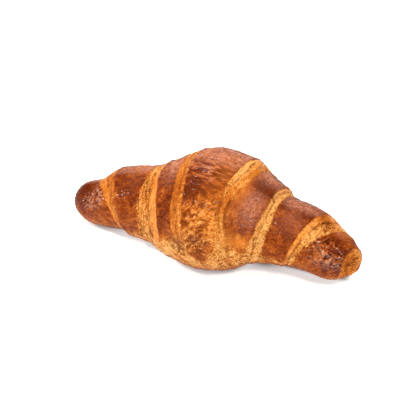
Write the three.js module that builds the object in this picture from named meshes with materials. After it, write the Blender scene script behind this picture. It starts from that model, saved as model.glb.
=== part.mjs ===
// A straight butter croissant, baked on a flat tray.
//
// A long triangle of laminated dough is rolled up from its base to its apex. The roll is thickest
// in the middle, where all the windings lie over each other, and it thins towards two blunt tips.
// Each winding leaves one edge step on either side of the middle, so three steps lead down to each
// tip. The apex is tucked in low on the front. The underside is pressed flat by the tray.
//
// Millimetres. +X runs along the roll, -Y is the front, +Z is up. The origin is on the tray, under
// the middle of the croissant.

import * as THREE from 'three';

// Overall size
const length = 150;
const heightToWidth = 0.82;

// The two limbs. Each row of sizes is read at these shares of half the length, middle to tip.
const stationAt = [0, 0.18, 0.36, 0.54, 0.7, 0.85, 1];
const leftLimb = {
  halfWidth: [33.5, 29.2, 22.9, 19.4, 17.7, 15.1, 14.4],
  underside: [-2.4, -0.6, 1.7, 2.6, 0.8, -1.1, -0.5],
  tipBluntness: 8,
};
const rightLimb = {
  halfWidth: [33.5, 31.2, 23.4, 18.4, 18.5, 19.1, 18.1],
  underside: [-2.4, -0.9, 5.3, 7.6, 5.8, 1, 0.2],
  tipBluntness: 4,
};

// The edges of the rolled triangle. They are followed inwards from the apex, in turns of the roll.
// Each row gives how far an edge lies from the apex along the roll at the turns of edgeTurn: whole
// numbers are at the apex, the quarters after them at the front and the halves at the top.
const apexAlong = 4;
const apexAngle = -80;
const edgeTurn = [0, 0.22, 0.47, 1.22, 1.47, 2.22, 2.47, 3.22, 3.6];
const leftEdge = [4, 7, 16, 25.5, 32.5, 45, 60, 70, 78];
const rightEdge = [4, 11.5, 13.5, 25.5, 29.5, 43.5, 54, 64, 72];
const windings = 3;

// One edge step: how high it is, how wide its slope is and how far its rise reaches
const stepHeight = 0.9;
const stepWidth = 3.6;
const stepReach = 7.5;

// Mesh: rings along the roll and points round each ring
const rings = 80;
const ringPoints = 48;
const tipCrowding = 0.55;

const crust = new THREE.MeshStandardMaterial({ color: 0x9c5526, roughness: 0.45, metalness: 0 });

// A smooth curve through the given sizes, which never overshoots between two of them
function smoothThrough(at, sizes, x) {
  const last = at.length - 1;
  const clamped = Math.min(Math.max(x, at[0]), at[last]);
  let i = 0;
  while (i < last - 1 && clamped > at[i + 1]) {
    i += 1;
  }
  const gap = at[i + 1] - at[i];
  const t = (clamped - at[i]) / gap;
  const rise = sizes[i + 1] - sizes[i];
  const startSlope = slopeAt(at, sizes, i) * gap;
  const endSlope = slopeAt(at, sizes, i + 1) * gap;
  const curve = t * t * (3 - 2 * t) * rise;
  const bend = t * (1 - t) * ((1 - t) * startSlope - t * endSlope);
  return sizes[i] + curve + bend;
}

// The slope at one size: the harmonic mean of its two neighbours, and level at a peak or an end
function slopeAt(at, sizes, i) {
  if (i === 0 || i === at.length - 1) {
    return 0;
  }
  const before = (sizes[i] - sizes[i - 1]) / (at[i] - at[i - 1]);
  const after = (sizes[i + 1] - sizes[i]) / (at[i + 1] - at[i]);
  if (before * after <= 0) {
    return 0;
  }
  return (2 * before * after) / (before + after);
}

// How far the edge steps lift or lower the surface: up on the apex side of an edge, down outside it
function edgeRelief(x, angle) {
  const degrees = THREE.MathUtils.radToDeg(angle);
  const turn = THREE.MathUtils.euclideanModulo(degrees - apexAngle, 360) / 360;
  const edge = x < apexAlong ? leftEdge : rightEdge;
  const fromApex = Math.abs(x - apexAlong);
  let relief = 0;
  for (let winding = 0; winding < windings; winding += 1) {
    const outside = fromApex - smoothThrough(edgeTurn, edge, winding + turn);
    const fade = Math.exp(-((outside / stepReach) ** 2));
    relief -= stepHeight * Math.tanh(outside / (stepWidth / 2)) * fade;
  }
  return relief;
}

// A point of the skin: an oval ring round the roll, rounded off at the tips and cut by the tray.
// The angle is 0 at the front and a quarter turn at the top.
function skinPoint(share, angle) {
  const x = (share * length) / 2;
  const limb = x < 0 ? leftLimb : rightLimb;
  const out = Math.abs(share);
  const halfWidth = smoothThrough(stationAt, limb.halfWidth, out);
  const underside = smoothThrough(stationAt, limb.underside, out);
  const tipRound = Math.sqrt(Math.max(1 - out ** limb.tipBluntness, 0));
  const radius = (halfWidth + edgeRelief(x, angle)) * tipRound;
  const middleHeight = underside + halfWidth * heightToWidth;
  const y = -radius * Math.cos(angle);
  const z = middleHeight + radius * heightToWidth * Math.sin(angle);
  return new THREE.Vector3(x, y, Math.max(z, 0));
}

// Where ring i of the skin lies, from -1 at the left tip to 1 at the right tip, closer at the tips
function ringShare(i) {
  const t = i / rings;
  const crowded = -Math.cos(Math.PI * t);
  const even = 2 * t - 1;
  return tipCrowding * crowded + (1 - tipCrowding) * even;
}

// The closed skin: rings of points, joined by quads, with a fan of triangles at either tip
function croissantGeometry() {
  const positions = [];
  const faces = [];
  for (let i = 1; i < rings; i += 1) {
    for (let j = 0; j < ringPoints; j += 1) {
      const angle = (2 * Math.PI * j) / ringPoints;
      positions.push(...skinPoint(ringShare(i), angle).toArray());
    }
  }
  const leftTip = positions.length / 3;
  positions.push(...skinPoint(-1, 0).toArray());
  const rightTip = leftTip + 1;
  positions.push(...skinPoint(1, 0).toArray());

  const lastRing = (rings - 2) * ringPoints;
  for (let j = 0; j < ringPoints; j += 1) {
    const next = (j + 1) % ringPoints;
    for (let i = 0; i < rings - 2; i += 1) {
      const here = i * ringPoints;
      const beyond = here + ringPoints;
      faces.push(here + j, beyond + j, beyond + next);
      faces.push(here + j, beyond + next, here + next);
    }
    faces.push(leftTip, j, next);
    faces.push(rightTip, lastRing + next, lastRing + j);
  }

  const geometry = new THREE.BufferGeometry();
  geometry.setAttribute('position', new THREE.Float32BufferAttribute(positions, 3));
  geometry.setIndex(faces);
  centreOverOrigin(geometry);
  geometry.computeVertexNormals();
  return geometry;
}

// Moves the shape sideways so that its box is centred over the origin
function centreOverOrigin(geometry) {
  geometry.computeBoundingBox();
  const middle = geometry.boundingBox.getCenter(new THREE.Vector3());
  geometry.translate(-middle.x, -middle.y, 0);
}

const croissant = new THREE.Mesh(croissantGeometry(), crust);
croissant.name = 'croissant';

const model = new THREE.Group();
model.add(croissant);

export default model;
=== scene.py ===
# %% [markdown]
# # A straight butter croissant
#
# This lesson makes one baked croissant in Blender. The real thing is a long triangle of dough with
# butter folded into it in thin layers. The triangle is rolled up from its base to its apex, so the
# roll is thickest in the middle, and every winding leaves a step on either side of it. In the oven
# the glazed outside of each winding turns brown, and the cut edges of the dough open between
# them as paler bands.
#
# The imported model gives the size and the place. Everything here is worked out from its box.

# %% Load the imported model
import math
import bpy
import numpy as np
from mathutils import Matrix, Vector


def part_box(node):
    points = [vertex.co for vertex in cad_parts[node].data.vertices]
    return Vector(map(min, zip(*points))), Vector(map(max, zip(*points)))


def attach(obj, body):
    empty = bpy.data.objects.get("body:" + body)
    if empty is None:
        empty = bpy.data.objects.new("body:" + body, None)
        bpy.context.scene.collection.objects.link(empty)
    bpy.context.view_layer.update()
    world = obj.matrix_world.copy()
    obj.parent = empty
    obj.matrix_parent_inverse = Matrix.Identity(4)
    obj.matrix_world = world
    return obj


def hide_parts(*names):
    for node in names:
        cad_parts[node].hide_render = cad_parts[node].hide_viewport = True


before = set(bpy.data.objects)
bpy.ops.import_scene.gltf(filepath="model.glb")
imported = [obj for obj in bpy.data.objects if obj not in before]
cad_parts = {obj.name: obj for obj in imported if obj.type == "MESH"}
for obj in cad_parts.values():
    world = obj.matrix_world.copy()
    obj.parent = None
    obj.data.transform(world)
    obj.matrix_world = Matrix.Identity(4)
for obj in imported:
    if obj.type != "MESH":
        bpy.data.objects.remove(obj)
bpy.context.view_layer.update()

low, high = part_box("croissant")
print("The packed model holds", sorted(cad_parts), "from", tuple(low), "to", tuple(high))

# %% [markdown]
# ## Sizes
#
# The sizes below are in millimetres of a croissant that is 150 mm long, because a baker thinks in
# millimetres. One number, `unit`, turns them into metres, so that the piece always has the length
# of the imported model.

# %% Driving sizes
LENGTH = 150.0
HEIGHT_TO_WIDTH = 0.82
unit = (high.x - low.x) / LENGTH
print(f"One millimetre of the design is {unit:.6f} m")

# %% [markdown]
# ## Curves through a few sizes
#
# The limbs of a croissant swell and thin out gradually. A cubic curve through a few sizes gives
# that with very few numbers. Its slope at each size is the harmonic mean of the slopes on both
# sides, so it never swings past a size, as a plain spline would. The helper takes whole arrays.


# %% The curve and the soft step
def smooth_through(at, sizes, x):
    """Between two sizes: start + (3t^2 - 2t^3) of the rise, plus the two end slopes, which fade."""
    at = np.asarray(at, float)
    sizes = np.asarray(sizes, float)
    gap = np.diff(at)
    steep = np.diff(sizes) / gap
    slope = np.zeros(len(at))
    both = steep[:-1] * steep[1:]
    total = np.where(both > 0, steep[:-1] + steep[1:], 1)
    slope[1:-1] = np.where(both > 0, 2 * both / total, 0)
    i = np.clip(np.searchsorted(at, x, side="right") - 1, 0, len(at) - 2)
    t = np.clip((x - at[i]) / gap[i], 0, 1)
    curve = t * t * (3 - 2 * t) * steep[i]
    bend = t * (1 - t) * ((1 - t) * slope[i] - t * slope[i + 1])
    return sizes[i] + (curve + bend) * gap[i]


def soft_step(start, end, x):
    """0 before start, 1 after end, and 3t^2 - 2t^3 between them."""
    t = np.clip((x - start) / (end - start), 0, 1)
    return t * t * (3 - 2 * t)


def hump(centre, reach, x):
    """A bell that is 1 at the centre and falls to about a third at the reach."""
    return np.exp(-(((x - centre) / reach) ** 2))


print("Half way between its ends, a soft step is", soft_step(0, 1, 0.5))

# %% [markdown]
# ## The body of the roll
#
# The skin is a surface of two parameters: how far along the roll a point lies, and its angle
# round the roll. The angle is 0 at the front, a quarter turn at the top and half a turn at the
# back. Each ring is an oval, a little lower than it is wide. Two rows of half widths and two rows
# of undersides, middle to tip, give the two limbs their different shapes.

# %% The limbs
STATIONS = (0, 0.18, 0.36, 0.54, 0.7, 0.85, 1)
LEFT_HALF_WIDTH = (33.5, 29.2, 22.9, 19.4, 17.7, 15.1, 14.4)
RIGHT_HALF_WIDTH = (33.5, 31.2, 23.4, 18.4, 18.5, 19.1, 18.1)
LEFT_UNDERSIDE = (-2.4, -0.6, 1.7, 2.6, 0.8, -1.1, -0.5)
RIGHT_UNDERSIDE = (-2.4, -0.9, 5.3, 7.6, 5.8, 1, 0.2)
LEFT_BLUNTNESS = 8
RIGHT_BLUNTNESS = 4


def ring_size(x):
    """Half width, height of the middle and rounding of the tip (root of 1 - share^bluntness)."""
    share = np.clip(np.abs(x) * 2 / LENGTH, 0, 1)
    left = x < 0
    half_width = np.where(
        left,
        smooth_through(STATIONS, LEFT_HALF_WIDTH, share),
        smooth_through(STATIONS, RIGHT_HALF_WIDTH, share),
    )
    tray_bake_and_shade = np.where(
        left,
        smooth_through(STATIONS, LEFT_UNDERSIDE, share),
        smooth_through(STATIONS, RIGHT_UNDERSIDE, share),
    )
    bluntness = np.where(left, LEFT_BLUNTNESS, RIGHT_BLUNTNESS)
    tip_round = np.sqrt(1 - share**bluntness)
    return half_width, tray_bake_and_shade + half_width * HEIGHT_TO_WIDTH, tip_round


print(f"The middle is {2 * LEFT_HALF_WIDTH[0]:.0f} mm wide, before its steps")

# %% [markdown]
# ## The grid
#
# Equal steps along the skin, and not along the axis, keep the quads even where the tips turn
# in. So the rings are placed by the length of the outline: it is added up on a fine line of points
# and then read at equal shares. The points round a ring start at the bottom, where the apex of
# the dough lies. A sine moves them closer together on top, where the detail is, than underneath.

# %% Rings and angles
RINGS = 372
ROUND = 266
APEX_ANGLE = -80.0
APEX_ALONG = 4.0
TOP_CROWDING = 0.35

fine_x = np.linspace(-LENGTH / 2, LENGTH / 2, 20001)
fine_width, _, fine_round = ring_size(fine_x)
outline_step = np.hypot(np.diff(fine_x), np.diff(fine_width * fine_round))
outline = np.concatenate([[0], np.cumsum(outline_step)])
ring_x = np.interp(np.linspace(0, outline[-1], RINGS + 2)[1:-1], outline, fine_x)
even_share = np.arange(ROUND) / ROUND
turn_share = even_share + TOP_CROWDING * np.sin(2 * np.pi * even_share) / (2 * np.pi)
angle_deg = APEX_ANGLE + 360 * turn_share

x_grid = np.repeat(ring_x[:, None], ROUND, axis=1)
angle_grid = np.repeat(angle_deg[None, :], RINGS, axis=0)
print(f"{RINGS} rings of {ROUND} points, {outline[-1] / RINGS:.2f} mm apart along the skin")

# %% [markdown]
# ## Uneven dough
#
# Nothing baked is even. Two kinds of noise do the rest of the lesson: a soft one, which mixes
# random numbers from the corners of a lattice, and a cell one, which measures the distance to
# scattered points and gives the crust its pebbled grain. Both are worked out on whole arrays, and
# the random numbers come from scrambling whole numbers, so each run is the same.

# %% Soft noise and cells
KEEP_32_BITS = 0xFFFFFFFF
KEEP_24_BITS = 0xFFFFFF
STRIDE_X, STRIDE_Y, STRIDE_Z, STRIDE_SEED = 374761393, 668265263, 1440662683, 974711
FIRST_STIR, SECOND_STIR = 1274126177, 2246822519


def scrambled(ix, iy, iz, seed):
    """A repeatable number from 0 to 1 for each whole-number point: multiply, shift and mix twice."""
    bits = (ix * STRIDE_X + iy * STRIDE_Y + iz * STRIDE_Z + seed * STRIDE_SEED) & KEEP_32_BITS
    bits = ((bits ^ (bits >> 13)) * FIRST_STIR) & KEEP_32_BITS
    bits = ((bits ^ (bits >> 16)) * SECOND_STIR) & KEEP_32_BITS
    return ((bits ^ (bits >> 15)) & KEEP_24_BITS) / KEEP_24_BITS


def soft_noise(place, size, seed):
    """Random numbers at the corners of boxes of this size, blended with 3t^2 - 2t^3, from -1 to 1."""
    scaled = place / np.asarray(size, float)
    corner = np.floor(scaled).astype(np.int64)
    t = scaled - corner
    t = t * t * (3 - 2 * t)
    total = 0
    for dx in (0, 1):
        for dy in (0, 1):
            for dz in (0, 1):
                weight = t[..., 0] if dx else 1 - t[..., 0]
                weight = weight * (t[..., 1] if dy else 1 - t[..., 1])
                weight = weight * (t[..., 2] if dz else 1 - t[..., 2])
                box = corner + np.array([dx, dy, dz])
                total = total + weight * scrambled(box[..., 0], box[..., 1], box[..., 2], seed)
    return 2 * total - 1


def rough_noise(place, size, seed, octaves=3):
    """Soft noise, plus half as much at half the size, and so on."""
    total = 0
    for octave in range(octaves):
        finer = np.asarray(size, float) / 2**octave
        total = total + soft_noise(place, finer, seed + octave) / 2**octave
    return total / 1.5


FAR_AWAY = 9.0


def cell_distance(place, size, seed):
    """Distance, in boxes of this size, to the nearest and second nearest of the scattered points."""
    scaled = place / np.asarray(size, float)
    corner = np.floor(scaled).astype(np.int64)
    nearest = np.full(scaled.shape[:-1], FAR_AWAY)
    second = np.full(scaled.shape[:-1], FAR_AWAY)
    for dx in (-1, 0, 1):
        for dy in (-1, 0, 1):
            for dz in (-1, 0, 1):
                box = corner + np.array([dx, dy, dz])
                inside_box = [scrambled(box[..., 0], box[..., 1], box[..., 2], seed + i) for i in range(3)]
                point = box + np.stack(inside_box, axis=-1)
                distance = np.linalg.norm(point - scaled, axis=-1)
                second = np.minimum(second, np.maximum(nearest, distance))
                nearest = np.minimum(nearest, distance)
    return nearest, second


print("One scrambled number:", round(scrambled(1, 2, 3, 4), 3))

# %% [markdown]
# ## The smooth body
#
# First the body without any steps. Its points and its outward normals come from the two
# parameters, and everything after this is a height that is added along the normals.


# %% Points and normals of the body
def body_points(x, angle):
    """An oval ring: y is -radius times the cosine, z is the middle plus 0.82 radius times the sine."""
    half_width, middle, tip_round = ring_size(x)
    radius = half_width * tip_round
    turn = np.radians(angle)
    y = -radius * np.cos(turn)
    z = middle + radius * HEIGHT_TO_WIDTH * np.sin(turn)
    return np.stack([x, y, z], axis=-1)


def grid_normals(points):
    """The cross product of the steps along the roll and round it, made one long."""
    along = np.gradient(points, axis=0)
    around = (np.roll(points, -1, axis=1) - np.roll(points, 1, axis=1)) / 2
    normal = np.cross(along, around)
    return normal / np.linalg.norm(normal, axis=-1, keepdims=True)


body = body_points(x_grid, angle_grid)
body_normal = grid_normals(body)
outward = (body_normal[..., 2] * np.sin(np.radians(angle_grid))).mean()
print(f"The body's normals point outwards: {outward > 0}")

# %% [markdown]
# ## Places on the skin
#
# Much of what follows belongs to one place only: the blisters, the pocket, a cheek that browned
# more. Such a place is a bell in x and in angle, which fades over its two reaches. A second kind
# has a flat top and a quicker edge, for what covers an area and then stops. Each place is four
# numbers: x, the angle, the reach along the roll in millimetres and the reach round it in degrees.


# %% Patches
def patch(x, angle, x_reach, angle_reach):
    """A bell round a place on the skin: 1 there, fading over the two reaches."""
    turn = (angle_grid - angle + 180) % 360 - 180
    return np.exp(-(((x_grid - x) / x_reach) ** 2) - (turn / angle_reach) ** 2)


def flat_patch(x, angle, x_reach, angle_reach):
    """The same place with a flat top and a quicker edge: the bell's fourth powers."""
    turn = (angle_grid - angle + 180) % 360 - 180
    return np.exp(-(((x_grid - x) / x_reach) ** 4) - (turn / angle_reach) ** 4)


def with_patches(values, rows, where=1):
    """The values plus, for each row, its amount times its bell, only where they belong."""
    for x, angle, x_reach, angle_reach, amount in rows:
        values = values + amount * patch(x, angle, x_reach, angle_reach) * where
    return values


print(f"A patch on the front covers {(flat_patch(0, 30, 10, 20) > 0.5).mean():.1%} of the grid")

# %% [markdown]
# ## The edges of the rolled triangle
#
# Unroll a croissant and its two long edges are straight. Rolled up, each becomes a spiral that
# starts at the apex and moves further out with every turn. Two lines follow each spiral: the
# lip, where the glazed outside of a winding ends, and the start of the next winding's crust. The
# band between them is the cut edge, where the layers of dough show. The rows give how far each
# line lies from the apex, at five angles of each turn. They wobble a little, as torn dough does.

# %% The four lines
TURN_KNOTS = (0, 0.222, 0.347, 0.472, 0.722)
WINDINGS = 4
LEFT_LIP = (
    (0.3, 3.1, 7.6, 13, 16.2),
    (17, 17.8, 23.6, 29.6, 34),
    (38, 44, 49, 55.5, 60),
    (66, 84, 86, 88, 90),
    (92,),
)
LEFT_CRUST = (
    (3, 9.5, 14, 19, 23),
    (26, 32.2, 34.5, 36.3, 38.5),
    (41.5, 48, 56.5, 65, 68),
    (70, 87, 89, 91, 93),
    (95,),
)
RIGHT_LIP = (
    (1.5, 13.2, 8.4, 10.2, 13.5),
    (15, 23.5, 26.8, 27.8, 31),
    (36, 41.2, 44.8, 49, 56),
    (61, 64.5, 65.5, 67, 72),
    (78,),
)
RIGHT_CRUST = (
    (4, 16.6, 13.4, 17.5, 20),
    (24, 30.3, 31.4, 31.6, 36),
    (40, 45.3, 51.5, 57.5, 65),
    (69, 71, 72, 73, 77),
    (80,),
)
all_turns = [winding + knot for winding in range(WINDINGS) for knot in TURN_KNOTS] + [WINDINGS]

left_side = x_grid < APEX_ALONG
from_apex = np.abs(x_grid - APEX_ALONG)


def line_at(left_sizes, right_sizes, winding):
    """How far one line lies from the apex at every point of the grid, for its own side."""
    turns = winding + turn_share
    left = smooth_through(all_turns, np.concatenate(left_sizes), turns)[None, :]
    right = smooth_through(all_turns, np.concatenate(right_sizes), turns)[None, :]
    return np.where(left_side, left, right)


lip_wobble = 0.45 * soft_noise(body, 9, 11) + 0.3 * soft_noise(body, 2.6, 12)
lip_wobble += 0.2 * soft_noise(body, 1.2, 13)
crust_wobble = 0.3 * soft_noise(body, 7, 15) + 0.35 * soft_noise(body, 2.2, 16)
crust_wobble += 0.25 * soft_noise(body, 1.2, 17)
lips = [line_at(LEFT_LIP, RIGHT_LIP, k) + lip_wobble for k in range(WINDINGS)]
crusts = [line_at(LEFT_CRUST, RIGHT_CRUST, k) + crust_wobble for k in range(WINDINGS)]

# %% [markdown]
# ## The flap at the apex
#
# Low on the front the apex of the triangle ends in a loose flap. Its left edge doesn't follow the
# spiral: it turns sharply towards the apex. So both lines of the first winding move in there,
# over a few degrees of angle, and each next crust still starts a little past its lip.

# %% Turning the flap's edge
FLAP_TURN_FROM, FLAP_TURN_TO = 15, -4
FLAP_LIP_MOVES, FLAP_CRUST_MOVES = 1.3, 9
NEAREST_LIP = 0.8
THINNEST_BAND = 0.6

flap_turn = soft_step(FLAP_TURN_FROM, FLAP_TURN_TO, angle_grid) * left_side
lips[0] = np.maximum(lips[0] - FLAP_LIP_MOVES * flap_turn, NEAREST_LIP)
crusts[0] = crusts[0] - FLAP_CRUST_MOVES * flap_turn
crusts = [np.maximum(crust, lip + THINNEST_BAND) for lip, crust in zip(lips, crusts)]
widest = max((crust - lip).max() for lip, crust in zip(lips, crusts))
print(f"{2 * WINDINGS} edges; the widest band is {widest:.1f} mm")

# %% [markdown]
# ## Steps, lips, bands and folds
#
# Across an edge, from the middle of the croissant outwards, the surface rises into a rounded
# rim, turns down over the lip into a fine crease, falls along the band and ends at the swell of
# the next crust. Each band also has a fold somewhere along it, where two layers of dough meet.
# Humps and soft steps of the distance past the lip make all of these. Each band has its own
# height and its own fold, and five tones across its width, which are kept here for the finish.
# The creases are kept too, as places where the finish paints shade, and so is the pale edge of the lip.

# %% One row for each band
# Side and winding; the turns between which the lip comes up, and between which the band does;
# step height, lip height, fold's share of the width and its depth; then five tones across the
# band, from the lip outwards: first how browned, then how orange.
STRIPS = (0, 0.3, 0.42, 0.55, 1)
BANDS = (
    ("left", 0, (0, 0.02), (0.18, 0.23), 0.5, 0.8, 0.5, 0.2,
     (0.14, 0.38, 0.55, 0.32, 0.42), (0.1, 0.5, 0.3, 0.4, 0.6)),
    ("left", 1, (0, 0.02), (0, 0.02), 0.6, 0.9, 0.4, 0.22,
     (0.08, 0.14, 0.44, 0.26, 0.3), (0.75, 0.7, 0.3, 0.05, 0.1)),
    ("left", 2, (0, 0.02), (0, 0.02), 0.9, 0.7, 0.48, 0.35,
     (0.45, 0.4, 0.48, 0.2, 0.22), (0.3, 0.4, 0.4, 0.7, 0.7)),
    ("right", 0, (0.36, 0.44), (0, 0.02), 0.6, 0.9, 0.42, 0.26,
     (0.08, 0.11, 0.2, 0.34, 0.36), (0, 0.1, 0.35, 0.6, 0.5)),
    ("right", 1, (0, 0.02), (0, 0.02), 0.7, 0.9, 0.42, 0.4,
     (0.1, 0.1, 0.24, 0.05, 0.12), (0.3, 0.3, 0.3, 0, 0.1)),
    ("right", 2, (0, 0.02), (0, 0.02), 0.5, 0.8, 0.42, 0.3,
     (0.3, 0.16, 0.32, 0.1, 0.16), (0.6, 0.6, 0.4, 0.2, 0.2)),
    ("right", 3, (0, 0.02), (0, 0.02), 0.15, 0.4, 0.5, 0.3,
     (0.35, 0.35, 0.35, 0.35, 0.35), (0.5, 0.5, 0.5, 0.5, 0.5)),
)
STEP_REACH = 7.5
print(f"{len(BANDS)} bands, each with {len(STRIPS)} tones")

# %% Steps and bands
# How dark the painted shade is in the fold, at the lip's foot and where the next crust starts
FOLD_CREASE_SHADE, LIP_CREASE_SHADE, CRUST_CREASE_SHADE = 2.6, 0.22, 0.55
SMOOTH_CHEEK = (19, 6, 6, 22)

steps = np.zeros(x_grid.shape)
band = np.zeros(x_grid.shape)
beyond_lip = np.zeros(x_grid.shape)
band_browning = np.zeros(x_grid.shape)
band_glow = np.zeros(x_grid.shape)
crease_shade = np.zeros(x_grid.shape)
lip_light = np.zeros(x_grid.shape)
break_up = soft_step(-0.3, 0.35, soft_noise(body, (2.0, 2.4, 2.4), 14))
for side, k, lip_turns, band_turns, step, lip_height, fold_at, fold_depth, browns, glows in BANDS:
    # Where this band is, and how far each point lies past its lip
    own_side = left_side if side == "left" else ~left_side
    here = own_side * soft_step(0, 0.2, k + turn_share)[None, :]
    lip_shows = soft_step(*lip_turns, turn_share)[None, :]
    band_comes_up = soft_step(*band_turns, turn_share)[None, :]
    beyond = from_apex - lips[k]
    width = crusts[k] - lips[k]

    # The height: the fall over the edge, the rim of the lip, the swell of the next crust, the fold
    outside = beyond - width / 2
    fall = -np.tanh(outside / (0.5 * width + 0.6)) * np.exp(-((outside / STEP_REACH) ** 2))
    rim = 0.36 * hump(-1.1, 1.1, beyond) - 0.22 * hump(0.4, 0.5, beyond)
    swell = 0.3 * hump(1.5, 1.4, beyond - width) - 0.24 * hump(-0.1, 0.5, beyond - width)
    fold_line = hump(0, 0.45, beyond - fold_at * width) * soft_step(1.5, 3, width)
    edge_height = step * fall + lip_height * (rim * lip_shows + swell) - 1.3 * fold_depth * fold_line
    steps += here * (1 + 0.3 * soft_noise(body, 14, 20 + k)) * edge_height

    # What the finish needs: the band itself, its tones, the painted shade of its creases and its pale lip
    inside = soft_step(-0.25, 0.25, beyond) * (1 - soft_step(-0.3, 0.3, beyond - width))
    inside = inside * here * band_comes_up
    share = np.clip(beyond / width, 0, 1)
    wins = inside > band
    beyond_lip = np.where(wins, beyond, beyond_lip)
    band_browning = np.where(wins, np.interp(share, STRIPS, browns), band_browning)
    band_glow = np.where(wins, np.interp(share, STRIPS, glows), band_glow)
    band = np.maximum(band, inside * (1 - 0.45 * (1 - lip_shows) * hump(0, 3.5, beyond)))
    broken = here * break_up
    crease_shade = np.maximum(crease_shade, FOLD_CREASE_SHADE * fold_depth * fold_line * broken)
    lip_crease_shade = hump(0.2, 0.4, beyond) * lip_shows * broken
    crease_shade = np.maximum(crease_shade, LIP_CREASE_SHADE * lip_height * lip_crease_shade)
    crease_shade = np.maximum(crease_shade, CRUST_CREASE_SHADE * hump(-0.1, 0.4, beyond - width) * broken)
    lip_edge = hump(0.75, 0.4, beyond) * lip_shows * (1 - 0.5 * break_up)
    lip_light = np.maximum(lip_light, lip_edge * here)
# Less painted shade in the creases on the smooth cheek
crease_shade = crease_shade * (1 - 0.75 * flat_patch(*SMOOTH_CHEEK))
print(f"Steps from {steps.min():.2f} to {steps.max():.2f} mm; bands cover {band.mean():.0%} of the grid")

# %% [markdown]
# ## Layers in the bands
#
# The cut edge shows the folded layers of dough as fine ridges that run along the lip, with torn
# pores between them. The ridges are a wave of the distance past the lip, and fibres of soft noise
# that is drawn out along the band. The pores are the spots where another such noise is strongest.
# The glowing parts stay smoother: there the dough was stretched thin in the oven.

# %% Relief of the layers and pores
RIDGE_PITCH = 1.9

torn = band * (1 - 0.75 * band_glow)
ridge_shift = 0.8 * soft_noise(body, (5, 4, 4), 31) + 0.35 * soft_noise(body, 1.8, 32)
ridges = np.sin(2 * np.pi * (beyond_lip + ridge_shift) / RIDGE_PITCH)
layer_place = np.stack([beyond_lip + 0.25 * ridge_shift, body[..., 1], body[..., 2]], axis=-1)
fibres = soft_noise(layer_place, (0.8, 6, 6), 33) + 0.6 * soft_noise(body, (0.8, 1.2, 1.2), 34)
pore_noise = soft_noise(layer_place, (0.75, 3, 3), 41)
pore_noise += 0.5 * soft_noise(body, (0.8, 1.1, 1.1), 43)
low_noise = soft_noise(body, (2.2, 0.9, 0.9), 81) + 0.5 * soft_noise(body, (1, 0.8, 0.8), 82)
pores = soft_step(0.42, 0.75, pore_noise + 0.25 * soft_noise(body, 3.5, 42))
pores = pores * soft_step(0.25, 0.7, torn)
band_relief = band * (0.12 * ridges + 0.16 * fibres) - 0.4 * pores
print(f"Pores cover {(pores > 0.5).mean():.1%} of the grid")

# %% [markdown]
# ## Lumps, wrinkles and blisters
#
# The crust itself is uneven at several sizes. Broad lumps come from the proving dough, and a
# pebbled grain covers all of it. The glaze on the top of the middle winding dried into fine
# wrinkles that run along the roll. Lower on the front the skin blistered into small cushions, and
# both tips have a bumpy glaze. Wrinkles, cushions and bumps are all ridges where a soft noise
# crosses zero, because that gives lines that join up and part again, as creased skin does.

# %% Lumps, grain and wrinkles
TOP_WRINKLES = (2, 82, 12, 32)
LEFT_WRINKLES = (-18, 95, 8, 30)

crust = 1 - band
lumps = 0.45 * soft_noise(body, (16, 13, 13), 51) + 0.28 * soft_noise(body, 7, 52)
pebble_near, pebble_second = cell_distance(body + 0.5 * soft_noise(body, 2, 65)[..., None], 1.9, 64)
pebbles = soft_step(0.0, 0.45, pebble_second - pebble_near)
grain = 0.16 * rough_noise(body, 1.8, 53) + 0.16 * (pebbles - 0.6)

wrinkled = flat_patch(*TOP_WRINKLES) + 0.7 * patch(*LEFT_WRINKLES) + 0.22
wrinkled = np.clip(wrinkled, 0, 1) * crust
bent = body + 0.8 * soft_noise(body, 5, 58)[..., None]
wrinkle_noise = soft_noise(bent, (9, 1.3, 1.3), 54) + 0.2 * soft_noise(body, (4, 0.9, 0.9), 57)
wrinkle = 1 - 2.4 * np.abs(wrinkle_noise)
wrinkles = 0.5 * np.clip(wrinkle, -0.5, 1) * wrinkled
print(f"Lumps {np.ptp(lumps):.2f} mm, grain {np.ptp(grain):.2f} mm, wrinkles {np.ptp(wrinkles):.2f} mm")

# %% Blisters and bumpy tips
BLISTERS = (6, 28, 8.5, 22)
ROUGH_APEX = (8, 2, 6.5, 12)
LEFT_BUMPS = (-58, 38, 7, 20)
RIGHT_BUMPS = (62, 38, 8, 34)

blistered = flat_patch(*BLISTERS) * crust
apex_rough = flat_patch(*ROUGH_APEX) * crust
blister_place = body + 0.9 * soft_noise(body, 1.7, 56)[..., None]
blister_noise = soft_noise(blister_place, (2.3, 1.4, 1.4), 55)
blister_noise += 0.5 * soft_noise(blister_place, (1.3, 0.9, 0.9), 59)
cushions = np.clip(1 - 2.4 * np.abs(blister_noise), -0.7, 1)
blisters = 0.45 * cushions * np.maximum(blistered, 0.6 * apex_rough)

bumpy = np.clip(flat_patch(*LEFT_BUMPS) + flat_patch(*RIGHT_BUMPS), 0, 1) * crust
tip_place = body + 0.7 * soft_noise(body, 2.2, 62)[..., None]
tip_waves = soft_noise(tip_place, (1.9, 1.2, 1.2), 61)
tip_waves += 0.5 * soft_noise(tip_place, (1.1, 0.85, 0.85), 66)
tip_bumps = 1 - 2.2 * np.abs(tip_waves)
bumps = 0.4 * np.clip(tip_bumps, -1, 1) * bumpy
print(f"Blisters {np.ptp(blisters):.2f} mm, bumps {np.ptp(bumps):.2f} mm")

# %% [markdown]
# ## End layers, flap, pocket and seam
#
# A few marks are there only once. The right end shows the dough's layers edge on, as slanting
# rows. A flake stands up on the shoulder. The flap has a raised rim with a torn pocket beside it,
# and a fine seam runs down where the first band meets the next crust.

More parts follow.
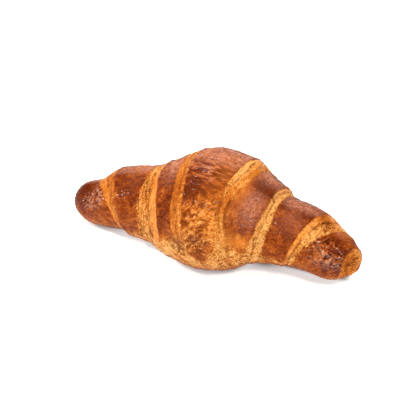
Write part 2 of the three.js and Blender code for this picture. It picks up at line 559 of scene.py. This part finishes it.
# %% Single marks
END_LAYER_PITCH = 1.4
END_LAYER_SLANT = -0.1
RIGHT_END = (72, 20, 5.5, 55)
FLAKE = (18, 114, 1.8, 9)
FLAP_RIM = (-1, 0, 7, 15)
POCKET = (-3.4, -3, 4.6, 7)
SEAM, SEAM_EDGE = (18, 42, 6, 18), (18, 32, 6, 28)

end_layers = flat_patch(*RIGHT_END)
end_shift = END_LAYER_SLANT * angle_grid + 0.6 * soft_noise(body, 4, 63)
end_shift += 0.25 * soft_noise(body, 1.6, 67)
end_wave = np.sin(2 * np.pi * (x_grid + end_shift) / END_LAYER_PITCH)
end_wave = end_wave * (0.4 + 0.6 * soft_noise(body, 2.2, 68))
end_relief = 0.26 * end_wave * end_layers

flake = 1.3 * flat_patch(*FLAKE)
past_crust = from_apex - crusts[0]
flap_line = hump(-0.5, 0.5, past_crust) * left_side * flat_patch(*FLAP_RIM)
pocket = flat_patch(*POCKET) * soft_step(0.1, 0.9, past_crust) * left_side
seam = hump(-0.2, 0.45, past_crust) * ~left_side * flat_patch(*SEAM)
seam_edge = hump(-1.2, 0.6, past_crust) * ~left_side * flat_patch(*SEAM_EDGE)

crust_relief = (
    lumps
    + grain * crust * (1 - 0.6 * wrinkled)
    + wrinkles
    + blisters
    + bumps
    + end_relief
    + flake
    + 0.6 * flap_line
    - 0.5 * pocket
    - 0.5 * seam
    + 0.3 * seam_edge
)
print(f"The crust's own relief runs from {crust_relief.min():.2f} to {crust_relief.max():.2f} mm")

# %% [markdown]
# ## Putting the surface together
#
# All the heights are added along the body's normals. They fade out at the very tips, where the
# rings shrink to a point, and over the tray, which pressed the dough flat. A soft floor keeps
# the skin above the tray: it is the mean of the height and the length of a right angle's long
# side over it, so the flat spot meets the sides in a small round.

# %% Heights along the normals
PRESS_ROUND = 0.7

half_width_grid, _, tip_round_grid = ring_size(x_grid)
ring_radius = half_width_grid * tip_round_grid
tip_fade = soft_step(0, 5, ring_radius)
clear_of_tray = soft_step(-0.5, 3, body[..., 2])
height = (steps + band_relief + crust_relief) * tip_fade * (0.15 + 0.85 * clear_of_tray)
skin = body + body_normal * height[..., None]


def press_on_tray(z):
    """Half of z plus half of the root of z squared plus the rounding squared, less a small rest."""
    return np.maximum((z + np.sqrt(z * z + PRESS_ROUND**2)) / 2 - 0.12 * PRESS_ROUND, 0)


skin[..., 2] = press_on_tray(skin[..., 2])
poles = body_points(np.array([-LENGTH / 2, LENGTH / 2]), np.array([0.0, 0.0]))
poles[:, 2] = press_on_tray(poles[:, 2])
all_points = np.concatenate([skin.reshape(-1, 3), poles])

design_low, design_high = all_points.min(0), all_points.max(0)
centre_shift = (design_low + design_high) / 2
centre_shift[2] = design_low[2]
box_middle = np.array([(low.x + high.x) / 2, (low.y + high.y) / 2, low.z])
print("Box of the skin in mm:", (design_high - design_low).round(2))

# %% [markdown]
# ## Into a Blender mesh
#
# The grid becomes quads, and a fan of triangles closes each tip. The last point of each ring is
# joined to the first, so the skin is one closed body with its faces outwards. `foreach_set` copies
# whole arrays, which is many times faster than a loop. Values that the finish needs later, such
# as how browned each place is, travel with the mesh as attributes.


# %% Grid to mesh
def closed_skin(name, points, rings, round_count):
    """A mesh of ring quads with a fan at either end; the two poles are the last two points."""
    i, j = np.meshgrid(np.arange(rings - 1), np.arange(round_count), indexing="ij")
    after = (j + 1) % round_count
    ring, next_ring = i * round_count, (i + 1) * round_count
    quads = np.stack([ring + j, next_ring + j, next_ring + after, ring + after], axis=-1)
    j = np.arange(round_count)
    after = (j + 1) % round_count
    left_pole = rings * round_count
    last = (rings - 1) * round_count
    left_fan = np.stack([np.full(round_count, left_pole), j, after], axis=-1)
    right_fan = np.stack([np.full(round_count, left_pole + 1), last + after, last + j], axis=-1)
    loops = np.concatenate([quads.ravel(), left_fan.ravel(), right_fan.ravel()])
    quad_count = (rings - 1) * round_count
    sizes = np.concatenate([np.full(quad_count, 4), np.full(2 * round_count, 3)])
    starts = np.concatenate([[0], np.cumsum(sizes)[:-1]])

    mesh = bpy.data.meshes.new(name)
    mesh.vertices.add(len(points))
    mesh.vertices.foreach_set("co", points.astype(np.float32).ravel())
    mesh.loops.add(len(loops))
    mesh.loops.foreach_set("vertex_index", loops.astype(np.int32))
    mesh.polygons.add(len(sizes))
    mesh.polygons.foreach_set("loop_start", starts.astype(np.int32))
    mesh.polygons.foreach_set("use_smooth", np.ones(len(sizes), bool))
    mesh.update(calc_edges=True)
    mesh.validate()
    return mesh


metres = (all_points - centre_shift) * unit + box_middle
croissant_mesh = closed_skin("croissant_skin", metres, RINGS, ROUND)
croissant = bpy.data.objects.new("croissant_skin", croissant_mesh)
bpy.context.scene.collection.objects.link(croissant)
triangle_count = sum(len(p.vertices) - 2 for p in croissant_mesh.polygons)
print(f"The skin has {triangle_count} triangles")


def keep_values(mesh, name, values):
    """Stores one number for each point of the grid; the two poles take their ring's mean."""
    ends = np.array([values[0].mean(), values[-1].mean()])
    layer = mesh.attributes.new(name, "FLOAT", "POINT")
    layer.data.foreach_set("value", np.concatenate([values.ravel(), ends]).astype(np.float32))


# %% [markdown]
# ## How browned each place is
#
# Browning follows heat and glaze. The egg wash stops at a wavy line low on the sides: above it the
# crust is brown, darkest on top, and below it the dough stays tan. The bands have their own
# paler tones. Patches make the colour as uneven as on the real one: each row is a place, its two
# reaches and how much browner it is there. All this is one number from 0, pale dough, to 1,
# the darkest crust. The tops of wrinkles, cushions and bumps are painted paler and the valleys
# between them browner, as painted light and painted shade on the relief. The underside is browner
# too, partly from the tray and partly as painted shade under the body.

# %% The wash line and the patches
# The angle at which the egg wash stops, at places along the roll
WASH_X = (-75, -46, -29, -22, -13, -7, 0, 8, 16, 24, 34, 46, 75)
WASH_ANGLE = (-34, -30, -22, -8, -6, 1, -2, -18, 4, -4, -12, -26, -34)
BACK_WASH_ANGLE = 205
BROWNER = (
    (-67, 60, 6, 35, 0.3),
    (-66, 25, 6, 14, 0.12),
    (-74, 20, 5, 80, 0.14),
    (-56, 5, 10, 25, 0.16),
    (-36, 58, 6, 22, 0.28),
    (-38, 100, 8, 18, -0.14),
    (-33, 6, 9, 12, -0.12),
    (-36, 32, 5, 14, -0.16),
    (-43, 30, 3, 20, -0.1),
    (-13.9, 12, 2.5, 12, 0.15),
    (-16.5, 40, 2, 30, -0.1),
    (-13, 45, 5, 40, 0.14),
    (-18, 67, 2.5, 12, 0.16),
    (-1, 54, 4, 10, 0.45),
    (-4, 72, 4, 14, 0.2),
    (4, 60, 7, 8, 0.16),
    (10, 66, 5, 10, 0.12),
    (2, 75, 5, 11, 0.16),
    (12, 82, 3, 10, 0.18),
    (15, 22, 4, 16, -0.24),
    (8, 32, 8, 20, -0.2),
    (7, 0, 5, 10, -0.08),
    (-7, 3, 7, 12, -0.2),
    (3, 104, 12, 14, 0.3),
    (-36.5, 58, 4, 14, -0.12),
    (-50, 0, 6, 14, -0.12),
    (7, 32, 8, 18, -0.2),
    (18, 5, 4, 9, -0.4),
    (27, 90, 4, 13, 0.36),
    (24, 112, 6, 14, -0.14),
    (19.8, 70, 2.6, 14, -0.26),
    (26, 6, 3, 8, -0.3),
    (45, 84, 6, 16, 0.08),
    (41, 24, 7, 28, 0.1),
    (50, 80, 4, 16, 0.2),
    (62, 60, 7, 40, 0.08),
    (63, 2, 8, 14, 0.26),
    (66, 102, 5, 14, -0.26),
    (72, 40, 3, 30, 0.12),
)
BAND_BROWNER = (
    (57, 100, 6, 16, 0.5),
    (53, 60, 4, 20, -0.08),
    (-52, 52, 8, 30, 0.2),
    (-24, 54, 4, 26, 0.18),
    (-8, 70, 4, 26, 0.14),
    (15, 88, 5, 25, -0.1),
    (14, 45, 5, 20, 0.32),
    (-7, 45, 4, 24, 0.18),
    (49, 15, 5, 16, 0.14),
)
print(f"{len(BROWNER)} patches on the crust and {len(BAND_BROWNER)} on the bands")

# %% Browning
upness = body_normal[..., 2]
wash_line = smooth_through(WASH_X, WASH_ANGLE, x_grid)
wash_noise = 5 * soft_noise(body, 5, 74) + 3 * soft_noise(body, 1.8, 75)
front_wash = soft_step(-7, 7, angle_grid - wash_line + wash_noise)
back_wash = soft_step(8, -8, angle_grid - BACK_WASH_ANGLE + wash_noise)
washed = front_wash * back_wash

browning = 0.66 + 0.12 * soft_step(0.2, 0.95, upness)
browning += 0.12 * soft_noise(body, (12, 9, 9), 71) + 0.12 * soft_noise(body, (4, 3, 3), 72)
browning += 0.13 * soft_noise(body, 1.5, 78) - 0.12 * (pebbles - 0.6)
browning = with_patches(browning, BROWNER)

# Below the wash: tan dough with streaks along the roll, a little browner out on the limbs
layer_streaks = soft_noise(body, (7, 1.3, 1.3), 79)
unwashed = 0.12 + 0.22 * layer_streaks + 0.2 * soft_noise(body, 4.5, 76)
unwashed += 0.26 * soft_noise(body, 1.7, 77)
limb_low = soft_step(30, 44, np.abs(x_grid - 3))
unwashed += 0.16 * limb_low + 0.14 * patch(-6, 4, 8, 14) + 0.12 * patch(19, -18, 12, 14)
browning = unwashed + (browning - unwashed) * washed

# The bands, with their own tones
band_tone = band_browning + 0.2 * fibres + 0.1 * soft_noise(body, 3, 73) - 0.12 * lip_light
band_tone = with_patches(band_tone, BAND_BROWNER)
band_shows = band * (0.25 + 0.75 * washed)
browning = browning + (band_tone - browning) * band_shows

# Painted light and shade: the tops of the relief are painted paler and the valleys between them browner;
# then the pale edges of the lip, flap and seam, and the end layers
browning += (0.1 - 0.42 * cushions) * blistered
browning += (0.62 - 0.5 * cushions - browning) * apex_rough * 0.75
browning -= 0.35 * lip_light * (1 - band)
browning -= 0.46 * np.clip(wrinkle, -0.5, 1) * wrinkled
browning += (0.06 - 0.36 * np.clip(tip_bumps, -1, 1)) * bumpy
browning -= 0.5 * flap_line + 0.3 * seam_edge
browning += (0.4 * end_wave + 0.2) * end_layers
# Browner underneath: partly the bake on the tray, partly painted shade under the body
tray_bake_and_shade = soft_step(-0.4, -0.85, upness)
browning = np.clip(browning + (0.8 - browning) * tray_bake_and_shade, 0, 1)
print(f"Browning {browning.min():.2f} to {browning.max():.2f}, mean {browning.mean():.2f}")

# %% [markdown]
# ## Glow, dark lines, glaze and sheen
#
# Six more numbers go with the browning. Glow is how orange a place is: the drawn-out strips and
# the low end of a winding have the most. Dark marks are the pores, folds, creases, seam, gaps
# between blisters and the pocket beside the flap, mostly painted shade where these sink in, and
# the dough's own dark specks and layer lines. Glaze is where the egg wash left a clear shine. Torn
# is where the layers of dough show. Painted sheen is a pale colour that stands in for the glaze's
# reflection, strongest on the top, with painted glints in small spots on the highest bumps.
# Wrinkled says where the fine bumps run along the roll.

# %% Glow
ORANGE = (
    (13, 28, 5, 30, 0.4),
    (25, 8, 4, 8, 0.8),
    (10, 85, 5, 30, 0.3),
    (20, 70, 3, 16, 0.5),
    (-18, -4, 6, 8, 0.6),
    (5, 30, 8, 20, 0.2),
    (71, 20, 5, 40, 0.05),
)
glow = np.clip(with_patches(band_glow * band_shows, ORANGE, where=1 - band), 0, 1)
print(f"Mean glow {glow.mean():.2f}")

# %% Dark marks and painted shade
# Painted shade in the gaps between the blisters
blister_gap_shade = soft_step(-0.1, -0.6, cushions) * blistered
apex_lines = 1 - 3.2 * np.abs(soft_noise(blister_place, (2.0, 1.3, 1.3), 80))
apex_gap = np.clip(apex_lines, 0, 1) * apex_rough
apex_pocket = 2 * pocket * soft_step(-0.5, 0.2, low_noise) + 0.6 * patch(8, -14, 3, 5)
low_pores = soft_step(0.15, 0.6, low_noise) * (1 - washed)
end_gap = soft_step(0.3, 0.9, end_wave) * end_layers
# Painted shade where the skin sinks in: creases, pores, gaps between blisters, the pocket and the seam;
# the apex lines, the end layers and the pores of the bare dough are the dough's own dark
shade_and_dark = (
    0.8 * pores
    + 0.45 * blister_gap_shade
    + 0.9 * apex_gap
    + 0.7 * end_gap
    + 0.8 * crease_shade
    + 0.5 * apex_pocket
    + 0.55 * seam * break_up
    + 0.7 * low_pores
)
shade_and_dark = np.clip(shade_and_dark, 0, 1)
print(f"Dark marks cover {(shade_and_dark > 0.5).mean():.1%} of the grid")

# %% Glaze
tip_shine = bumpy * np.where(x_grid < 0, 0.8, 1)
shiny = tip_shine + 0.06 * wrinkled + 0.8 * patch(4, 75, 6, 6) + 0.2 * blistered
shiny = np.clip(shiny, 0, 1)
sheen_top = 0.2 * soft_step(0.55, 0.95, upness)
glaze = np.clip((0.02 + sheen_top + shiny) * (1 - band) * washed, 0, 1)
print(f"Mean glaze {glaze.mean():.2f}")

# %% Painted sheen and glints
# Painted sheen: places where the pale colour of the glaze's reflection is painted, and how much
PAINTED_SHEEN_PATCHES = (
    (26, 57, 5, 26, 0.9),
    (3, 108, 14, 13, 0.2),
    (-16, 86, 5, 20, 1.3),
    (26, 114, 6, 12, 0.9),
    (27, 88, 5, 11, -0.35),
    (43, 62, 6, 26, 0.3),
    (-37, 70, 7, 18, 0.15),
)
# Painted highlights: pale spots on the highest bumps of the tips and along the wrinkles on top stand in
# for glints
painted_tip_glints = np.where(x_grid < 0, 0.85, 0.4) * soft_step(0.5, 1, tip_bumps) * bumpy
painted_top_glints = soft_step(0.45, 0.95, wrinkle) * wrinkled * patch(3, 76, 8, 7)
bloom = (painted_tip_glints + painted_top_glints) * soft_step(0, 0.5, upness)
bloom = with_patches(bloom, PAINTED_SHEEN_PATCHES)
bloom += 0.9 * np.clip(wrinkle, 0, 1) * wrinkled * patch(2, 104, 16, 26)
# Painted sheen on the top and the back, which face the light
painted_back_sheen = 0.85 * soft_step(0.75, 1, upness) * soft_step(78, 96, angle_grid)
bloom = np.clip((bloom + painted_back_sheen) * (1 - band), 0, 1)
print(f"Mean bloom {bloom.mean():.2f}")

# %% Values kept on the mesh
torn_skin = np.clip(torn * band_shows + 0.8 * (1 - washed) + 0.9 * apex_rough, 0, 1)
finish_values = {
    "browning": browning,
    "glow": glow,
    "shade_and_dark": shade_and_dark,
    "glaze": glaze,
    "torn": torn_skin,
    "bloom": bloom,
    "wrinkled": wrinkled,
}
for value_name, values in finish_values.items():
    keep_values(croissant_mesh, value_name, values)
print("Kept on the mesh:", ", ".join(finish_values))

# %% [markdown]
# ## Shader sums in plain Python
#
# A material is a graph of nodes, and a sum of masks soon needs many of them. This small class
# holds one socket. Adding or multiplying two of them adds the Math node and gives back its
# output, so a finish reads as a formula. `node` makes any other node: settings first, then values
# or links for its sockets.


# %% A socket that can be added and multiplied
class Wire:
    """One output socket of a node tree, with Python's operators turned into Math nodes."""

    def __init__(self, tree, socket):
        self.tree = tree
        self.socket = socket

    def node(self, kind, settings=None, **values):
        made = self.tree.nodes.new(kind)
        for key, value in (settings or {}).items():
            if key == "stops":
                set_stops(made.color_ramp, value)
            else:
                setattr(made, key, value)
        for key, value in values.items():
            name = key.replace("_", " ") if not key.startswith("in") else int(key[2:])
            connect(self.tree, made.inputs[name], value)
        return Wire(self.tree, made.outputs[0])

    def maths(self, operation, other, swap=False):
        first, second = (other, self) if swap else (self, other)
        return self.node("ShaderNodeMath", {"operation": operation}, in0=first, in1=second)

    def __add__(self, other):
        return self.maths("ADD", other)

    __radd__ = __add__

    def __sub__(self, other):
        return self.maths("SUBTRACT", other)

    def __rsub__(self, other):
        return self.maths("SUBTRACT", other, swap=True)

    def __mul__(self, other):
        return self.maths("MULTIPLY", other)

    __rmul__ = __mul__

    def clamped(self):
        return self.node("ShaderNodeClamp", in0=self)


print("A wire can be added, subtracted, multiplied and clamped")


# %% Sockets, ramps, colours and new finishes
def connect(tree, socket, value):
    """Links a wire to the socket, or sets the socket's own value."""
    if isinstance(value, Wire):
        tree.links.new(value.socket, socket)
    else:
        socket.default_value = value


def set_stops(ramp, stops):
    """Puts (place, colour) pairs on a colour ramp."""
    while len(ramp.elements) < len(stops):
        ramp.elements.new(1)
    for element, (place, colour) in zip(ramp.elements, stops):
        element.position = place
        element.color = colour


def linear(red, green, blue):
    """A screen colour from 0 to 255 as linear light: the 2.4th power, with a straight foot."""
    shares = [channel / 255 for channel in (red, green, blue)]
    light = [share / 12.92 if share <= 10 / 255 else ((share + 0.055) / 1.055) ** 2.4 for share in shares]
    return (*light, 1)


def new_finish(name):
    """An empty material: its tree as a starting wire, and its shader's inputs."""
    material = bpy.data.materials.new(name)
    material.use_nodes = True
    tree = material.node_tree
    shader = tree.nodes["Principled BSDF"]
    place = tree.nodes.new("ShaderNodeTexCoord")
    return material, tree, shader, Wire(tree, place.outputs["Object"])


print("Deep brown as linear light:", [round(channel, 3) for channel in linear(72, 22, 3)])

# %% [markdown]
# ## The baked crust
#
# One finish covers the skin. A ramp turns browning into colour, from pale crumb through orange
# to deep brown, and noise in the ramp's factor breaks it up. Over the ramp lie the painted sheen,
# the orange of the glow and the brown of the dark marks and painted shade, in that order. The egg
# glaze is a clear coat over the crust only, and a little noise keeps the shine uneven. Fine bumps
# carry what is smaller than the mesh: grains everywhere, and streaks along the roll where the
# glaze is wrinkled.

# %% Crust finish and the values it reads
material, tree, shader, place = new_finish("baked_crust")


def stored(name):
    """Reads one of the values kept on the mesh."""
    made = tree.nodes.new("ShaderNodeAttribute")
    made.attribute_name = name
    return Wire(tree, made.outputs["Fac"])


def stretched(scales):
    """The place times one scale for each axis: noise on it is drawn out along the smallest."""
    return place.node("ShaderNodeVectorMath", {"operation": "MULTIPLY"}, in0=place, in1=scales)


def mixed(factor, first, second):
    """The first colour times 1 - factor, plus the second colour times the factor."""
    made = tree.nodes.new("ShaderNodeMix")
    made.data_type = "RGBA"
    connect(tree, made.inputs[0], factor)
    connect(tree, made.inputs[6], first)
    connect(tree, made.inputs[7], second)
    return Wire(tree, made.outputs[2])


browning_w = stored("browning")
glow_w = stored("glow")
shade_and_dark_w = stored("shade_and_dark")
glaze_w = stored("glaze")
torn_w = stored("torn")
wrinkled_w = stored("wrinkled")
bloom_w = stored("bloom")
print("The crust finish reads", len(finish_values), "values")

# %% Colour of the crust
CRUST_TONES = [
    (0.0, linear(208, 154, 88)),
    (0.25, linear(174, 110, 46)),
    (0.5, linear(144, 72, 19)),
    (0.75, linear(112, 45, 7)),
    (1.0, linear(72, 22, 3)),
]
# The pale colour of the painted sheen and painted glints
PAINTED_SHEEN_TONE = linear(176, 118, 94)
GLOW_TONE = linear(192, 107, 30)
# The brown of the painted shade and the dark marks
SHADE_AND_DARK_TONE = linear(80, 38, 10)

mottle = place.node("ShaderNodeTexNoise", None, Vector=place, Scale=800.0, Detail=3.0, Roughness=0.65)
fleck = place.node("ShaderNodeTexNoise", None, Vector=place, Scale=1800.0, Detail=2.0)
drawn_out = stretched((1500.0, 700.0, 700.0))
speck = place.node("ShaderNodeTexNoise", None, Vector=drawn_out, Scale=1.0, Detail=1.0)
dark_specks = ((speck - 0.58) * 9.0).clamped() * torn_w
light_specks = ((0.42 - speck) * 6.0).clamped() * torn_w
grain_strength = torn_w * 0.5 + 0.5
uneven = (mottle - 0.5) * 0.9 + (fleck - 0.5) * 2.1
tone = browning_w + uneven * grain_strength - light_specks * 0.22
crust_ramp = tone.node("ShaderNodeValToRGB", {"stops": CRUST_TONES}, Fac=tone)

# Painted sheen: a pale colour mixed over the ramp, speckled by noise, in place of the glaze's reflection
bloom_share = (bloom_w * (0.5 + (mottle - 0.5) * 2.4)).clamped()
with_bloom = mixed(bloom_share, crust_ramp, PAINTED_SHEEN_TONE)
with_glow = mixed(glow_w * 0.65, with_bloom, GLOW_TONE)
# Painted shade and dark marks: brown mixed over creases, pores, gaps and the pocket, and over the dough's
# dark specks
shade_and_dark_share = (shade_and_dark_w * 0.7 + dark_specks * 0.6).clamped()
with_shade_and_dark = mixed(shade_and_dark_share, with_glow, SHADE_AND_DARK_TONE)
connect(tree, shader.inputs["Base Color"], with_shade_and_dark)
print("The crust goes through", len(CRUST_TONES), "tones")

# %% Shine and fine bumps
COAT_ROUGHNESS = 0.13
COAT_IOR = 1.45
SPECULAR_LEVEL = 0.04
BUMP_METRES = 0.0004

roughness = 0.5 - glaze_w * 0.1 + (mottle - 0.5) * 0.3
connect(tree, shader.inputs["Roughness"], roughness)
connect(tree, shader.inputs["Coat Weight"], glaze_w)
shader.inputs["Coat Roughness"].default_value = COAT_ROUGHNESS
shader.inputs["Coat IOR"].default_value = COAT_IOR
shader.inputs["Specular IOR Level"].default_value = SPECULAR_LEVEL

fine = place.node("ShaderNodeTexNoise", None, Vector=place, Scale=1000.0, Detail=1.5, Roughness=0.5)
along_roll = stretched((260.0, 950.0, 950.0))
streaks = place.node("ShaderNodeTexNoise", None, Vector=along_roll, Scale=1.0, Detail=1.0)
fine = fine + (streaks - fine) * wrinkled_w
bump = place.node("ShaderNodeBump", None, Strength=0.8, Distance=BUMP_METRES, Height=fine)
connect(tree, shader.inputs["Normal"], bump)
croissant_mesh.materials.append(material)
print(f"{material.name} has {len(tree.nodes)} nodes")

# %% Joining the frame
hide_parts("croissant")
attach(croissant, "root")
print("The skin takes the packed croissant's place")

# %% [markdown]
# ## The ground
#
# The croissant lies on a plain white ground that glows a little, as the lit floor of a light tent
# does, so hardly any shadow shows on it. A glow would also shine into the thin gap under the
# croissant, where the real ground is dark and brown with light from the crust. So a shadow is
# painted on the ground: its own value is 1 in the open, and less where the skin hangs low over
# it, under the shoulder and along the line where the limbs rest, and there its colour and glow
# are painted dark brown, with painted light from the crust in it.

# %% Ground as a grid
NEAR_MM = 120
GRID_STEP_MM = 1.5
far_mm = 40 * LENGTH

near_line = np.arange(-NEAR_MM, NEAR_MM + 1, GRID_STEP_MM)
floor_line = np.concatenate([[-far_mm], near_line, [far_mm]])
floor_x, floor_y = np.meshgrid(floor_line, floor_line, indexing="ij")
print(f"The ground is {2 * far_mm / 1000:.0f} m across")

# %% Where a shadow is painted on the ground
GLOW_GAP = 3.6
NOTHING_ABOVE = 99
SHADE_LINE_SHIFT, SHADE_LINE_SLOPE = 1.8, 0.06

under_width, under_middle, under_round = ring_size(np.clip(floor_x, -LENGTH / 2, LENGTH / 2))
across = np.abs(floor_y) / np.maximum(under_width * under_round, 0.1)
belly_drop = HEIGHT_TO_WIDTH * under_width * under_round * np.sqrt(np.maximum(1 - across**2, 0))
gap = np.where(across < 1, under_middle - belly_drop, NOTHING_ABOVE)
# Painted shadow under the shoulder and along the line where the limbs rest
shoulder_shade = hump(26, 8, floor_x) * hump(1.4, 3.8, floor_y)
past_line = floor_y + SHADE_LINE_SHIFT - SHADE_LINE_SLOPE * floor_x
limb_shade = soft_step(0, 3, past_line) * soft_step(10, 4, past_line)
limb_shade = limb_shade * soft_step(1, 0.75, across) * soft_step(72, 64, np.abs(floor_x))
unshadowed_ground = 0.25 + 0.75 * soft_step(0, GLOW_GAP, gap)
unshadowed_ground = unshadowed_ground * (1 - np.maximum(shoulder_shade, limb_shade))
print(f"Open ground runs from {unshadowed_ground.min():.2f} to {unshadowed_ground.max():.2f}")

# %% Ground mesh
floor_points = np.stack([floor_x * unit, floor_y * unit, np.full(floor_x.shape, low.z)], axis=-1)
count = len(floor_line)
i, j = np.meshgrid(np.arange(count - 1), np.arange(count - 1), indexing="ij")
corner = i * count + j
floor_quads = np.stack([corner, corner + count, corner + count + 1, corner + 1], axis=-1)
floor_mesh = bpy.data.meshes.new("floor")
floor_mesh.from_pydata(floor_points.reshape(-1, 3).tolist(), [], floor_quads.reshape(-1, 4).tolist())
glow_layer = floor_mesh.attributes.new("unshadowed_ground", "FLOAT", "POINT")
glow_layer.data.foreach_set("value", unshadowed_ground.astype(np.float32).ravel())
floor = bpy.data.objects.new("floor", floor_mesh)
bpy.context.scene.collection.objects.link(floor)
print(f"The ground has {len(floor_mesh.polygons)} quads")

# %% Ground finish
# Painted shadow: where the skin hangs low, the ground's colour and glow are mixed towards dark brown, with
# painted light from the crust in it
FLOOR_COLOURS = (
    ("Base Color", (0.14, 0.08, 0.05, 1), (0.85, 0.85, 0.85, 1)),
    ("Emission Color", (0.06, 0.022, 0.009, 1), (1, 1, 1, 1)),
)
FLOOR_ROUGHNESS = 0.9
FLOOR_GLOW = 0.55

floor_material, floor_tree, floor_shader, _ = new_finish("white_ground")
unshadowed_node = floor_tree.nodes.new("ShaderNodeAttribute")
unshadowed_node.attribute_name = "unshadowed_ground"
for socket, shaded, lit in FLOOR_COLOURS:
    made = floor_tree.nodes.new("ShaderNodeMix")
    made.data_type = "RGBA"
    made.inputs[6].default_value = shaded
    made.inputs[7].default_value = lit
    floor_tree.links.new(unshadowed_node.outputs["Fac"], made.inputs[0])
    floor_tree.links.new(made.outputs[2], floor_shader.inputs[socket])
floor_shader.inputs["Roughness"].default_value = FLOOR_ROUGHNESS
floor_shader.inputs["Emission Strength"].default_value = FLOOR_GLOW
floor_shader.inputs["Specular IOR Level"].default_value = 0.0
floor_mesh.materials.append(floor_material)
print("The ground mixes", len(FLOOR_COLOURS), "pairs of colours")

# %% [markdown]
# ## Light
#
# An even white world and a large soft box behind give most of the light. Neither shows in
# reflections, because a large pale reflection would turn the glaze milky. Three small boxes do
# show, and give the glaze its short bright glints.

# %% World and soft boxes
WORLD_LIGHT = 0.5
WARM_WHITE = (1.0, 0.94, 0.86)

world = bpy.data.worlds.new("studio")
bpy.context.scene.world = world
world.use_nodes = True
world.node_tree.nodes["Background"].inputs["Color"].default_value = (1, 1, 1, 1)
world.node_tree.nodes["Background"].inputs["Strength"].default_value = WORLD_LIGHT
world.cycles_visibility.glossy = False


def direction_to(azimuth, elevation):
    """(sin a cos e, -cos a cos e, sin e) for azimuth a, from the front to the right, and elevation e."""
    turn, rise = math.radians(azimuth), math.radians(elevation)
    return Vector((math.sin(turn) * math.cos(rise), -math.cos(turn) * math.cos(rise), math.sin(rise)))


def soft_light(name, azimuth, elevation, distance, size, watts, in_gloss=True):
    """A square area light that faces the croissant from the given direction."""
    back = direction_to(azimuth, elevation)
    lamp = bpy.data.lights.new(name, "AREA")
    lamp.size = size
    lamp.energy = watts
    lamp.color = WARM_WHITE
    holder = bpy.data.objects.new(name, lamp)
    holder.visible_glossy = in_gloss
    holder.location = back * distance
    holder.rotation_euler = (-back).to_track_quat("-Z", "Y").to_euler()
    bpy.context.scene.collection.objects.link(holder)
    print(f"{name}: {watts} W, {size} m wide")


soft_light("back_box", -165, 74, 0.9, 0.6, 8, in_gloss=False)
soft_light("left_box", -54, 42, 0.8, 0.08, 3.6)
soft_light("right_box", 37, 48, 0.8, 0.09, 3.6)
soft_light("top_glint", -127, 65, 0.8, 0.09, 0.7)

# %% [markdown]
# ## Camera
#
# The camera stands to the right of the front and looks down at the croissant with a long lens. It
# aims a little to the left of the middle and above it, so that the croissant fills the view evenly.

# %% Camera
AZIMUTH = 24.6
ELEVATION = 35.0
DISTANCE_MM = 500
TARGET_HEIGHT_MM = 20
AIM_SHIFT_MM = Vector((-0.66, 0, 2.98))
FOCAL_TO_FRAME = 1043.8 / 420
SENSOR_MM = 36.0

target = Vector((0, 0, TARGET_HEIGHT_MM * unit))
aim = target + AIM_SHIFT_MM * unit
camera_data = bpy.data.cameras.new("camera")
camera_data.sensor_width = SENSOR_MM
camera_data.lens = FOCAL_TO_FRAME * SENSOR_MM
camera_data.clip_start = 0.01
camera = bpy.data.objects.new("camera", camera_data)
camera.location = target + direction_to(AZIMUTH, ELEVATION) * (DISTANCE_MM * unit)
camera.rotation_euler = (aim - camera.location).to_track_quat("-Z", "Y").to_euler()
bpy.context.scene.collection.objects.link(camera)
bpy.context.scene.camera = camera
bpy.context.scene.view_settings.view_transform = "Standard"
print(f"Lens {camera_data.lens:.1f} mm at {camera.location.length:.3f} m")
